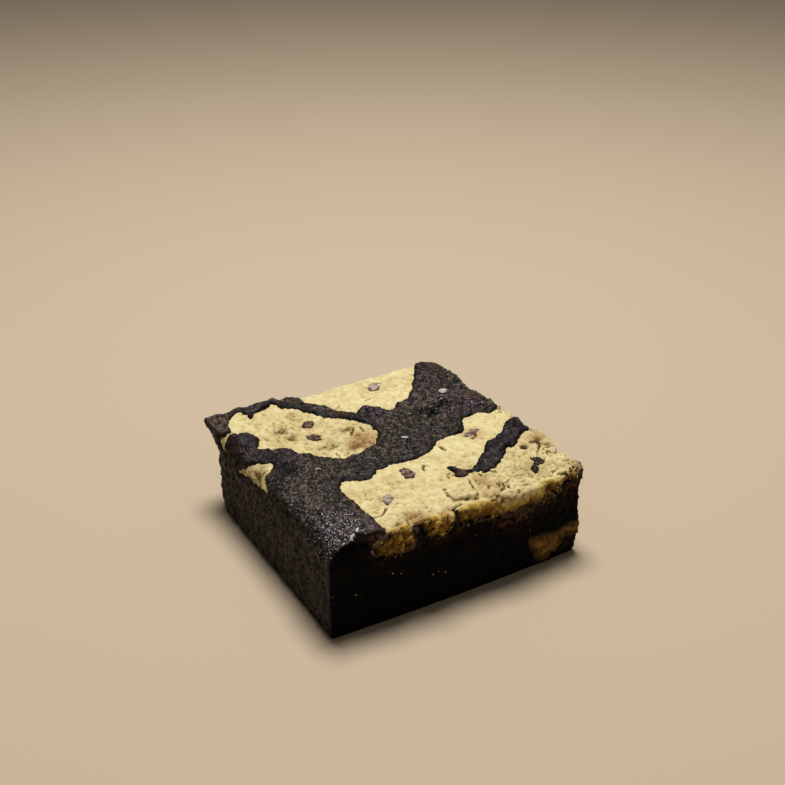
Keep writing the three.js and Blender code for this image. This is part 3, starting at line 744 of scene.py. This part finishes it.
doughLook = {
    "step": 0.25,
    "stepUp": 0.25,
    "cutRound": 1.7,
    "sink": 0.4,  # how far it lies below the brownie
    "dive": 2.4,  # how far its rim goes under
    "rim": 1.4,  # how wide that rim is
    "shortRim": 0.7,  # and at the slab's edges, where it would fold over itself
    "thickness": 1.2,  # of its skin
    "bulge": (0.35, 0.7),  # how far it stands out of the cut, left and right of the middle
    "lump": (4.6, 0.42),
    "pebble": (2.1, 0.20),
    "nub": (1.1, 0.10),
    "grain": (0.7, 0.10),
    "dent": (1.9, 0.42),
    "cutLump": (3.2, 0.5),
    "crack": (0.32, 1),  # half width and depth
    "seam": (0.06, 0.35),  # the same for the finer cracks that wander over the dough
    "cracks": [
        [(-0.7, -28.8), (0.1, -31.2), (1.9, -33), (3.6, -32.6), (5.4, -34)],
        [(0, -31), (1.4, -32.2), (3.4, -32.4)], [(7.6, -26.8), (7.2, -28.6), (6.9, -30.2)],
        [(6.4, -31.8), (5.4, -34.2)], [(-21, -29), (-19, -28.4), (-16.6, -26.9)],
        [(0.5, -16.4), (1.1, -14.4), (2.7, -16)], [(-3.2, -35.6), (-1.6, -34.6), (-0.3, -34.4)],
        [(15.2, -31.2), (14.4, -32.6), (13, -33.6)], [(15.4, -32.4), (14.6, -34.8)],
        [(10.2, -35.8), (9.2, -37), (8.4, -38.4)], [(10.3, -8.4), (10.7, -10.6)],
        [(20.4, -6.2), (22.6, -5.4), (24.4, -5.8)], [(20.6, -8.6), (22.4, -7.6)],
        [(33, -18.6), (34.6, -19.4), (34, -21.4), (32.6, -22)], [(35, -20.6), (36.4, -21.8)],
        [(33.4, -23.4), (35, -24.8), (36.6, -25.8)], [(29.6, -34.8), (31.4, -35.6)],
        [(-14.4, 3.2), (-14.9, 0.4)], [(-6.4, 10.2), (-5, 11.6), (-4.2, 12.8)],
        [(-2.8, 9), (-2.5, 12)], [(-4.4, 24.2), (-2, 25.4)], [(6, 24), (8, 25.2), (9.4, 24.8)],
        [(12, 33), (15, 31.8)],
    ],
    "flakes": [  # outline, the edge that lifted, how far it reaches and how high
        ([(-0.9, -28.4), (0.1, -31), (1.9, -32.8), (3.6, -32.4), (5.4, -33.6), (6.8, -30.6),
          (7.4, -27), (4, -24), (0, -25)], (3.4, -33), 5, 0.8),
        ([(6.8, -31.6), (5.7, -34.4), (8.4, -35.4), (11, -33.8), (13, -33.3), (14.8, -31.2),
          (11, -29.4)], (9, -33), 4, 0.35),
        ([(8.8, -37.4), (10.5, -35.2), (13.4, -34), (14.4, -35.2), (17, -35.4), (17, -41),
          (9, -41)], (12.5, -36), 4, 0.5),
        ([(15.6, -31.6), (14.9, -34.4), (20, -34.6), (24, -35.6), (28, -36.6), (28, -32),
          (20, -30.6)], (19, -34), 5, 0.45),
        ([(20, -5), (20.4, -6.4), (22.6, -5.7), (25, -6), (26, -2), (22, -2)],
         (22.6, -5.8), 2.5, 0.5),
    ],
    "knobs": [
        (-10, -37, 25.2, 1.8, 0.7), (-5, -37, 25.4, 1.4, 0.6), (-8, -37.2, 22.4, 1.6, 0.4),
        (-19, -37, 23, 2.2, 0.4), (4, -37.2, 25, 2.4, 0.45), (8.6, -37.5, 25, 0.8, -0.8),
        (12.6, -37.2, 24.8, 2.6, 0.8), (17.5, -37.2, 24.4, 2.2, 0.4),
        (-12.8, -37.3, 24.2, 2.2, -1.7), (-2.4, -37.3, 24, 2, -1.5), (25, -37.2, 22.8, 1.5, -0.9),
        (28.6, -36.8, 24.2, 1, -0.8), (32, -36.8, 24.6, 1.5, -1.2), (34.8, -36, 24.8, 1.6, -0.6),
        (34, -20.5, 1, -0.6), (30, -19.6, 0.9, -1.8), (-15.4, 27.2, 2.4, -0.5),
        (-22.6, 20.6, 1.3, -0.7), (-21.4, 16.6, 1.2, -0.5), (-27, 18.8, 1.2, -0.5),
        (-14.2, 8.2, 1.6, -0.5), (-5, 12.6, 1.6, -0.5), (0.5, -31.4, 1.3, -0.9),
        (2.6, -33, 1.1, -0.7), (14.2, -31.4, 0.8, -0.8), (13.4, -33.2, 0.7, -0.8),
        (8.8, -21, 2, -0.3), (37.5, -18, 25, 3, 0.8), (37.5, -25.5, 25, 2, -0.4),
        (37.5, -32, 25, 3, 0.7), (34.6, -33.6, 3.4, 0.8),
    ],
    "rough": [  # rougher
        (14, -31, 7, 0.8), (31, -35, 25.5, 5, 0.8), (34, -22, 4, 0.4), (21, -29, 4, 0.3),
        (-12, -36, 25.5, 7, 1.1), (-4, 5, 5, 0.9), (-18, 18, 12, 0.3), (38, -31, 24, 5, 0.9),
        (38, -22, 24, 5, 0.9), (38, 0, 24, 5, 0.7),
    ],
    "darkToneAndShade": [  # darker: painted shade in the dents, holes and cracks the small spots sit on, and the dough's own darker tone under the wide ones
        (-17, 14, 12, 0.14), (-26, 24, 7, 0.06), (-15.6, 27, 2.4, 0.15), (-17.4, 26, 1, 0.2),
        (-22.7, 20.6, 1.4, 0.25), (-21.5, 16.6, 1.3, 0.15), (-27.2, 18.7, 1.4, 0.15),
        (-14.3, 8.1, 1.6, 0.15), (-4.8, 12.4, 2.2, 0.25), (-8.4, 3.6, 1.8, 0.35),
        (-6, 7.6, 1, 0.3), (22, -29, 9, 0.17), (22, -29.5, 2.6, 0.14), (5, -31, 8, 0.10),
        (-14, -20, 12, 0.1), (33, -32, 5, 0.12), (-12.6, -36.6, 3.2, 0.3), (-3, -36.6, 2.8, 0.25),
        (0.5, -31.4, 1.5, 0.4), (2.6, -33, 1.3, 0.35), (30, -19.4, 1, 1.2),
        (34.3, -24.4, 0.7, 0.6), (35.9, -22.6, 0.8, 0.5), (36.4, -25.6, 0.7, 0.5),
        (32.2, -22.8, 0.8, 0.4), (34.6, -18.6, 1.2, 0.7), (14.2, -31.4, 0.9, 0.5),
        (13.5, -33.2, 0.9, 0.5), (10, -36, 1.2, 0.3), (-17.6, -34.2, 1, 0.5),
        (-22.2, 21.4, 1.8, 0.3), (-6.4, 12.8, 1.4, 0.3), (-38, 9, 20, 7, 0.25),
        (-37.6, 3, 24, 2.6, 0.3), (-36.4, 5.4, 24.4, 1.6, 0.25), (-0.2, -27.2, 0.6, 0.8),
        (27, -35.6, 0.6, 0.8), (10.5, -9.4, 0.9, 0.5), (36.8, -37, 24.8, 2.6, 0.25),
        (24, -37.5, 5, 4, 0.15), (34, -37.5, 7.6, 3, 0.1),
    ],
    "holeDepth": 0.8,
    "holed": [  # where the knife tore crumbs out of the cut
        (-13.9, -37.4, 23.4, 1.9, 0.9), (-11.4, -37.4, 22.2, 1.6, 0.6),
        (-16.9, -37.4, 24.6, 0.8, 0.6), (-2.6, -37.4, 23.2, 1.5, 0.7), (-3, -37.4, 25.6, 0.8, 0.7),
        (2.6, -37.4, 23.4, 0.9, 0.5), (8.6, -37.4, 25.6, 0.8, 0.5), (25.6, -37.4, 23.2, 1.6, 0.7),
        (31, -37.4, 23.4, 1.6, 0.5), (33.6, -37, 24.4, 1.2, 0.4), (23.4, -37.4, 5.6, 0.8, 0.5),
        (30, -19.5, 0.8, 1.2), (-37, 6.2, 22.8, 1.2, 0.5), (-36.6, 3, 22.2, 1, 0.6),
    ],
    "scorched": [  # browner
        (-4, 5.4, 4.6, 0.9), (-8.6, 4.4, 2.6, 0.6), (-9.4, 3, 1.3, 0.9), (-5.6, 0.8, 1.6, 0.9),
        (-5.2, 8.2, 1.6, 0.9), (-22, -37, 23.5, 4, 0.5), (22.4, -6.8, 1.9, 0.7),
        (9, -25.8, 2.2, 0.5), (10.5, -27.6, 1.4, 0.5), (-14.5, -35.8, 25.6, 3.6, 0.6),
        (-9, -36.4, 25.6, 2.4, 0.4), (-3, -36, 25.6, 3, 0.55), (34.4, -18, 4.4, 0.6),
        (35.6, -16.4, 2.6, 0.3), (-13, -32.6, 2.4, 0.6), (-12.4, -35, 1.8, 0.6),
        (7.6, -33.6, 1.8, 0.6), (11, -29.4, 2, 0.5), (21.6, -28.4, 2.6, 0.35),
        (33.4, -35.6, 2.4, 0.4), (36.8, -36.8, 25, 3, 0.7), (-8, -31, 3, 0.15),
        (23, 31, 2.6, 0.25), (-15, 19.2, 1.6, 0.8), (-23.2, 19.6, 1.4, 0.6),
        (-22.6, 17.6, 0.9, 0.6), (-15.6, 24.8, 0.9, 0.7), (-4.6, 26.6, 1.4, 0.5),
        (11, -33, 4, 0.3), (-8, 14, 2, 0.2),
    ],
    "slicedFrom": [  # x along the front cut, how far down the yellow goes there, and its fade
        (-24, -1.8, 1.8), (-13, -1.6, 2), (-9, -1.3, 2.2), (-5, -1, 2.2), (0, -1, 2.6),
        (6, -0.8, 3), (9, -0.2, 4.6), (12, 1.2, 4.4), (17, 1, 4.4), (22, 0.4, 4.2),
        (26, -0.6, 2.6), (29, 1, 2.6), (32, -0.8, 2.6), (38, -0.2, 3),
    ],
    "rightSliced": (0.8, 3.8),  # the same down the right cut
}


def nearChips(points):  # 1 on a chip, fading to 0 around it
    return np.clip(blobs(points, [
        (x, y, float(topAt(x, y)), 0.6 * length, 1.0)
        for x, y, length, *_ in chipLook["chips"]]), 0, 1)


def flaked(across, flakes):  # plates of dough that lifted along one edge in the oven
    lift = np.zeros(len(across))
    for outline, edge, reach, height in flakes:
        away = ((across - edge) ** 2).sum(1)
        near = away < (2.5 * reach) ** 2
        share = smooth(insideBy(across[near], np.array(outline, float)), -0.1, 0.4)
        lift[near] += height * share * np.exp(-away[near] / reach**2)
    return lift


def shapeDough(name, dough, look, skin):
    points, quads, normals = skin
    x, y, _ = points.T
    inside = doughInside(points, dough)
    edgy = (y > back - 2) | ((x > right - 3) & (y < front + 3))
    nearby = inside > np.where(edgy, -look["shortRim"], -(look["rim"] + 0.8))
    keep = nearby[quads].all(1)
    used, faces = np.unique(quads[keep], return_inverse=True)
    faces = faces.reshape(-1, 4)
    points, normals, inside = points[used], normals[used], inside[used]
    (x, y, z), (out, away, _) = points.T, normals.T
    inside = inside + wobbled(points)
    cut = np.maximum(smooth(-away, 0.3, 0.9), smooth(out, 0.3, 0.9))
    lump, pebble, nub, grain, dent, cutLump = (
        look[key] for key in ("lump", "pebble", "nub", "grain", "dent", "cutLump"))
    across = points[:, :2] + 0.5 * np.stack(
        [ruffle(points, 1.5, 2, seed=15), ruffle(points, 1.5, 2, seed=25)], 1)
    holed = blobs(points, look["holed"]) * smooth(ruffle(points, 1.1, 2, seed=33), -0.45, 0.25)
    warped = points + 0.8 * ruffle(points, 1.4, 2, seed=26)[:, None]
    rough = blobs(points, look["rough"])
    rugged = 1 + rough
    lumps = ruffle(points, lump[0], 2, seed=7)
    pebbles = ruffle(points, pebble[0], 2, seed=8)
    relief = pebble[1] * pebbles * (1 + 0.3 * cut)
    relief += nub[1] * ruffle(points, nub[0], 3, seed=22)
    relief += grain[1] * (grains(points, grain[0], seed=9) - 0.5)
    relief -= dent[1] * smooth(ruffle(warped, dent[0], 2, seed=12), 0.22, 0.6) * np.clip(
        0.1 + 0.8 * rough + 0.4 * cut, 0, 1)
    relief *= rugged * (1 - 0.8 * nearChips(points))
    seam = np.abs(ruffle(points, 4.5, 2, seed=13))
    patchy = smooth(ruffle(points, 9.0, 1, seed=14) * rugged, 0.1, 0.5)
    relief -= look["seam"][1] * (1 - smooth(seam, 0.0, look["seam"][0])) * patchy
    width, depth = look["crack"]
    crack = np.zeros(len(points))
    for line in look["cracks"]:
        crack = np.maximum(crack, np.exp(-(nearLine(across, np.array(line, float)) / width) ** 2))
    crack *= 1 - cut
    relief += flaked(across, look["flakes"]) - depth * crack
    # painted shade in the dough's hollows and cracks and painted light on its lumps, from the
    # relief, and the darker spots listed
    rise = 0.5 + 1.3 * standing(relief, faces, 8) + 0.14 * lumps + 0.12 * pebbles
    rise -= 0.35 * crack + blobs(points, look["darkToneAndShade"])
    relief += lump[1] * lumps * rugged + cutLump[1] * ruffle(points, cutLump[0], 2, seed=31) * cut
    relief += blobs(points, look["knobs"])
    bulge = between(*look["bulge"], smooth(x, 2, 12) * smooth(z, 12, 18))
    relief += bulge * cut - look["sink"] * (1 - cut) - look["holeDepth"] * holed
    relief -= look["dive"] * smooth(-inside, 0.0, look["rim"])
    shaped = points + normals * relief[:, None]
    # opened: how far down a cut face a point lies; it brings in the buttery and toffee colours,
    # darker further down: partly painted shade
    facing = smooth(np.maximum(-away, out), 0.05, 0.45)
    drop = slab["height"] - z + 0.8 * ruffle(points, 2.0, 3, seed=17)
    along, start, fade = np.array(look["slicedFrom"], float).T
    toFront = -away > out
    drop -= np.where(toFront, np.interp(x, along, start), look["rightSliced"][0])
    fade = np.where(toFront, np.interp(x, along, fade), look["rightSliced"][1])
    opened = facing * smooth(drop / fade, 0.0, 1.0)
    # near black where the dough meets brownie on the cut, a little along its rim, and in the torn
    # holes
    darkened = cut * (1 - smooth(inside + 0.6 * ruffle(points, 1.3, 2, seed=18), 0.0, 3.0))
    darkened = np.maximum(0.85 * darkened, 0.2 * (1 - smooth(inside, -0.3, 0.1)))
    darkened = np.clip(darkened + holed, 0, 1)
    browned = 0.25 * cut + 0.2 * smooth(-inside, -0.9, 0.2)
    browned += blobs(points, look["scorched"]) + 0.2 * ruffle(points, 3.0, 2, seed=16)
    browned += 0.4 * nearChips(points) ** 2
    piece = makePiece(name + "_dough", shaped, faces.tolist(), [doughFinish], None, {
        "browned": np.clip(browned, 0, 1), "opened": np.clip(opened, 0, 1),
        "darkened": darkened, "rise": np.clip(rise, 0, 1)})
    thick = piece.modifiers.new("thickness", "SOLIDIFY")
    thick.thickness = look["thickness"] * mm
    thick.offset = -1.0
    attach(piece, "root")
    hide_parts(name)
    print(name, "made,", len(faces), "faces")
    return shaped, normals, inside, cut


chipLook = {
    "proud": 0.05,  # how far a chip's middle stands over the dough round it
    "rough": 0.5,
    "thick": 0.8,
    "chips": [  # x, y, length, width, turn in degrees, bloom
        (-4, -15.8, 4.4, 3.3, 75, 0.6), (-14.4, -23.6, 4.4, 3, 60, 0.85),
        (26.4, -29.2, 5, 2.1, 54, 0.15), (29.2, -26.8, 3.8, 3, 80, 0.25),
        (-15.3, 14.5, 4.2, 3.4, -40, 0.5), (-14.2, 20.8, 3.6, 2.6, 15, 0.5),
        (12.3, 30.6, 4, 3, 30, 0.95), (22.4, -6.2, 6.8, 2, 12, 0.7),
        (32.6, -36.2, 1.5, 1.1, 40, 0.5),
    ],
    "cutChips": [  # x and z on the front cut, length, height, bloom
        (-14.4, 24.6, 1.6, 1.8, 0.15), (-2.4, 24.6, 1.4, 1.6, 0.1),
    ],
}
skinPoints, skinQuads, _ = makeSkin(
    doughLook["step"], doughLook["stepUp"], doughLook["cutRound"])
doughSkin = (skinPoints, skinQuads, normalsOf(skinPoints, skinQuads))
print("dough skin laid,", len(skinQuads), "faces")
laid = {name: shapeDough(name, dough, doughLook, doughSkin) for name, dough in doughs.items()}


def makeLump(centre, size, turn, rough, seed, detail=2):
    # one irregular lump, size along x, y and z, turned about z
    shape = bmesh.new()
    bmesh.ops.create_icosphere(shape, subdivisions=detail, radius=0.5)
    points = np.array([v.co[:] for v in shape.verts])
    faces = [[v.index for v in face.verts] for face in shape.faces]
    shape.free()
    shift = Vector((seed * 3.1, seed * 1.7, -seed * 2.3))
    grow = np.array([noise.fractal(Vector(p) * 3.2 + shift, 0.8, 2.0, 3) for p in points.tolist()])
    points = points * (1 + rough * grow)[:, None] * size
    c, s = math.cos(turn), math.sin(turn)
    points = points @ np.array([[c, s, 0], [-s, c, 0], [0, 0, 1]])
    return points + centre, faces


def seatOf(x, y=None, z=None):
    # the point on the dough over x and y, or at x and z on the front cut
    upright = z is not None
    second, column = (z, 2) if upright else (y, 1)
    nearest, seat = 1.2, None
    for points, normals, inside, cut in laid.values():
        fits = (inside > -0.2) & ((-normals[:, 1] > 0.5) if upright else (normals[:, 2] > 0.5))
        if fits.any():
            away = np.hypot(points[fits, 0] - x, points[fits, column] - second)
            if away.min() < nearest:
                nearest, seat = away.min(), tuple(points[fits][away.argmin()])
    if seat is None:  # on bare brownie
        bow = slab["cutBow"] * (1 - (2 * (x - left) / (right - left) - 1) ** 2)
        seat = (x, front - bow, z) if upright else (x, y, float(topAt(x, y)))
    return seat


def joinLumps(name, lumps, material, slot, **values):
    # values: one number a lump for each of the finish's attributes
    counts = [len(points) for points, _ in lumps]
    faces = [[start + v for v in face] for start, (_, lumpFaces) in zip(
        np.cumsum([0] + counts).tolist(), lumps) for face in lumpFaces]
    numbers = {key: np.repeat(np.array(each, float), counts) for key, each in values.items()}
    piece = makePiece(
        name, np.concatenate([points for points, _ in lumps]), faces, [material], None, numbers)
    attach(piece, "root")
    print(name, "made,", len(lumps), "lumps")


chips, blooms = [], []
for k, (x, y, length, width, turn, bloom) in enumerate(chipLook["chips"]):
    z = seatOf(x, y)[2] + chipLook["proud"]
    chips.append(makeLump((x, y, z), (length, width, chipLook["thick"]), math.radians(turn),
                          chipLook["rough"], k + 1, 3))
    blooms.append(bloom)
for k, (x, z, length, height, bloom) in enumerate(chipLook["cutChips"]):
    y = seatOf(x, z=z)[1]
    chips.append(makeLump((x, y, z), (length, chipLook["thick"], height), 0.0,
                          chipLook["rough"], k + 20, 3))
    blooms.append(bloom)
joinLumps("chocolate_chips", chips, chocolateFinish, "chocolate", bloom=blooms)

crumbLook = {
    "edgeEnd": (35.5, 54.5),  # x, and x and z together, where crumbs along the dough's edge end
    "field": (6, -22),  # x and y right of and in front of which they lie on the dough
    "browHeight": 25.2,  # above it a crumb in the cut shows its baked side
    "doughCrumbs": 60,
    "doughSize": (0.3, 0.8),
    "brownieCrumbs": 64,
    "brownieSize": (0.4, 1.2),
    "cornerCrumbs": 20,  # brownie that broke over the front right corner
    "cornerSize": (0.5, 1),
    "cornerCut": ((30.5, 36), (22.8, 25.6)),  # x and z that they keep to on the cut
    "cornerTop": ((31.6, 35.8), (-36.4, -35)),  # x and y on top
    "cutCrumbs": [  # x and z on the front cut, width, height, lean in degrees, how brown
        (-16.1, 25.3, 1.1, 2.4, 35, 0.25), (-4.8, 25.3, 1.8, 2.4, -10, 0.1),
        (-14.4, 26.1, 1.8, 0.8, -20, 0.7), (-12.6, 25.9, 1.9, 1, -30, 0.6),
        (-10.9, 25.4, 1.2, 0.7, -20, 0.8), (-9, 24.8, 2, 1.3, -20, 0.8),
        (-7, 25.6, 1.4, 1.2, 0, 0.5), (-9.2, 22.9, 2, 1.3, -40, 0.4), (-7, 21.3, 1, 1.4, 20, 0.1),
        (-4.3, 23.3, 1.6, 0.6, -30, 0.6), (-3.3, 22.1, 0.8, 0.6, 0, 0.6),
        (-16.4, 23.4, 1, 0.7, 0, 0.8), (-19.4, 25.6, 1.8, 1, -15, 0.9),
        (29.2, 23.6, 2, 1, -30, 0.9),
    ],
    "darkCrumbs": [  # the same for brownie in the cut, with no tone
        (-14.4, 24.2, 1.5, 1.8, 0), (-13.2, 22.6, 1.7, 1.2, 20), (-12, 23.8, 1, 1.3, 0),
        (-2.6, 22.8, 1.5, 1, 10), (-1.8, 24, 0.9, 0.9, 0), (-24.4, 25.6, 1.8, 1.2, 30),
        (26.4, 21, 1.4, 1, 0), (22.6, 21, 1.2, 0.8, 0),
    ],
    "glints": [  # x, z and size of pale flecks in the front cut: painted glints
        (-30.7, 11.3, 0.5), (-36.8, 13, 0.3), (-20.8, 14.1, 0.5), (-18.4, 13.2, 0.35),
        (-9.4, 9.6, 0.5), (-7.8, 9.9, 0.35), (-5.8, 8.9, 0.45), (3, 17, 0.3), (20, 12.4, 0.3),
    ],
    "topCrumbs": [  # x, y, size, for the larger ones on top that can be told apart
        (5, -20.6, 1.3), (4.4, -22, 1.1), (6, -21.8, 0.8), (12, -25.2, 1.4), (15.6, -26, 1.5),
        (14.4, -26.8, 0.9), (28.8, -24.6, 1), (-12, 1.2, 1), (-14.8, 2, 0.9),
    ],
    "flecks": [  # x, y, length, width, turn in degrees
        (27.5, 17.1, 2.9, 2.2, 10), (4, -1, 2, 1.1, -20), (-23.6, -3, 1.1, 0.5, 60),
        (-22.9, -3.2, 1.1, 0.5, -60), (24.5, 13.2, 0.8, 0.5, 0), (-28.2, -33, 1.9, 0.8, 50),
        (-30.2, -34.4, 1.8, 0.8, 40), (-31, -35.4, 1.2, 0.8, 70), (12, 10, 0.6, 0.4, 0),
        (-8, -6, 0.6, 0.4, 40), (31, 7, 0.8, 0.5, 30), (33.4, 5.6, 0.7, 0.4, 70),
        (-33.4, -36, 0.9, 0.5, 10),
    ],
}


def onCut(x, z, width, height, lean, seed):  # a crumb that sits on the front cut
    points, faces = makeLump((0, 0, 0), (width, 0.6 * min(width, height), height), 0.0, 0.9, seed)
    c, s = math.cos(math.radians(lean)), math.sin(math.radians(lean))
    points = points @ np.array([[c, 0, -s], [0, 1, 0], [s, 0, c]])
    return points + (x, seatOf(x, z=z)[1] - 0.15 * width, z), faces


def scatterCrumbs(look):
    rng = random.Random(7)
    pale, dark, dry, flecks = [], [], [], []
    tones = []  # how brown and how opened each pale crumb is
    points, normals, inside, cut = laid["cookie_front"]
    edge = np.flatnonzero((inside > -0.3) & (inside < 1.0) & (cut > 0.5))
    x, y, z = points.T
    edge = edge[(x < look["edgeEnd"][0])[edge] & (x + z < look["edgeEnd"][1])[edge]]
    brow = np.flatnonzero((inside > 0.5) & (cut > 0.2) & (cut < 0.9))
    field = np.flatnonzero((inside > 0.0) & (x > look["field"][0]) & (y < look["field"][1]))

    def stray(pool, sizes, proud, rough, seed):
        at = pool[rng.randrange(len(pool))]
        size = rng.uniform(*sizes)
        scale = [size * rng.uniform(0.7, 1.2) for _ in range(3)]
        centre = points[at] + normals[at] * size * proud
        return makeLump(centre, scale, rng.uniform(0, fullTurn), rough, seed)

    for k in range(look["doughCrumbs"]):
        pool, *tone = (
            (edge, 0.8, 0.8), (brow, 0.3, 0.2), (field, 0.15, 0.0), (brow, 0.3, 0.2))[k % 4]
        pale.append(stray(pool, look["doughSize"], -0.25, 0.7, k))
        tones.append(tone)
    for k, (*placed, brown) in enumerate(look["cutCrumbs"]):
        pale.append(onCut(*placed, k + 200))
        tones.append((brown, 0.12 if placed[1] > look["browHeight"] else 0.5))
    dry += [onCut(*placed, k + 230) for k, placed in enumerate(look["darkCrumbs"])]
    for k, (x, y, size) in enumerate(look["topCrumbs"]):
        centre = (x, y, seatOf(x, y)[2] + 0.2 * size)
        turn = rng.uniform(0, fullTurn)
        pale.append(makeLump(centre, (size, 0.8 * size, 0.6 * size), turn, 0.8, k + 240))
        tones.append((0.0, 0.0))
    for k, (x, y, length, width, turn) in enumerate(look["flecks"]):
        centre = (x, y, float(topAt(x, y)) + 0.3)
        flecks.append(makeLump(centre, (length, width, 0.5), math.radians(turn), 0.5, k + 300))
    # pale flecks in the front cut that stand for its glints: painted highlights
    flecks += [onCut(x, z, size, 0.7 * size, 15 * k, k + 340)
               for k, (x, z, size) in enumerate(look["glints"])]
    for k in range(look["brownieCrumbs"]):
        (dark, dry)[k % 2].append(stray(edge, look["brownieSize"], 0.1, 0.5, k + 500))
    for k in range(look["cornerCrumbs"]):
        size = rng.uniform(*look["cornerSize"])
        if k % 2:
            x, z = (rng.uniform(*limits) for limits in look["cornerCut"])
            centre = (x, seatOf(x, z=z)[1], z)
        else:
            centre = seatOf(*[rng.uniform(*limits) for limits in look["cornerTop"]])
        turn = rng.uniform(0, fullTurn)
        dry.append(makeLump(centre, (size, size * 0.8, size * 0.7), turn, 0.6, k + 700))
    browned, opened = zip(*tones)
    joinLumps("cookie_crumbs", pale, doughFinish, "cookie_dough", browned=browned,
              opened=opened, rise=[0.5] * len(pale))
    joinLumps("brownie_crumbs", dark, crumbFinish, "brownie")
    joinLumps("dry_brownie_crumbs", dry, dryCrumbFinish, "brownie")
    joinLumps("sugar_glint_flecks", flecks, sugarGlintFinish, "brownie")


scatterCrumbs(crumbLook)


studioLook = {
    "floorSide": 8.0,
    "floorDrop": 0.0001,  # how far it lies under the slice
    "floorColour": "#cbb69a",
    "keyPlace": (0.08, 0.14, 0.8),
    "keySize": 0.34,
    "keyPower": 6.6,
    "fillColour": "#9a9a98",  # light from all round
    "fillPower": 0.35,
}


def makeStudio(look):
    bpy.ops.mesh.primitive_plane_add(
        size=look["floorSide"], location=(0, 0, -look["floorDrop"]))
    floor = bpy.context.object
    floor.name = "floor"
    # painted board: to the eye a plain, matt, pale floor
    material, add, _ = newFinish("paintedBoard")
    closeFinish(add, linear(look["floorColour"]), 0.8, 1.3)
    floor.data.materials.append(material)
    data = bpy.data.lights.new("key", "AREA")
    data.shape = "DISK"
    data.size = look["keySize"]
    data.energy = look["keyPower"]
    light = bpy.data.objects.new("key", data)
    bpy.context.scene.collection.objects.link(light)
    light.location = look["keyPlace"]
    light.rotation_euler = Vector(look["keyPlace"]).to_track_quat("Z", "Y").to_euler()
    world = bpy.data.worlds.new("studio")
    bpy.context.scene.world = world
    world.use_nodes = True
    fill = world.node_tree.nodes["Background"].inputs
    fill["Color"].default_value = linear(look["fillColour"])
    fill["Strength"].default_value = look["fillPower"]
    bpy.context.scene.view_settings.view_transform = "Standard"


makeStudio(studioLook)
print("floor and lights set")
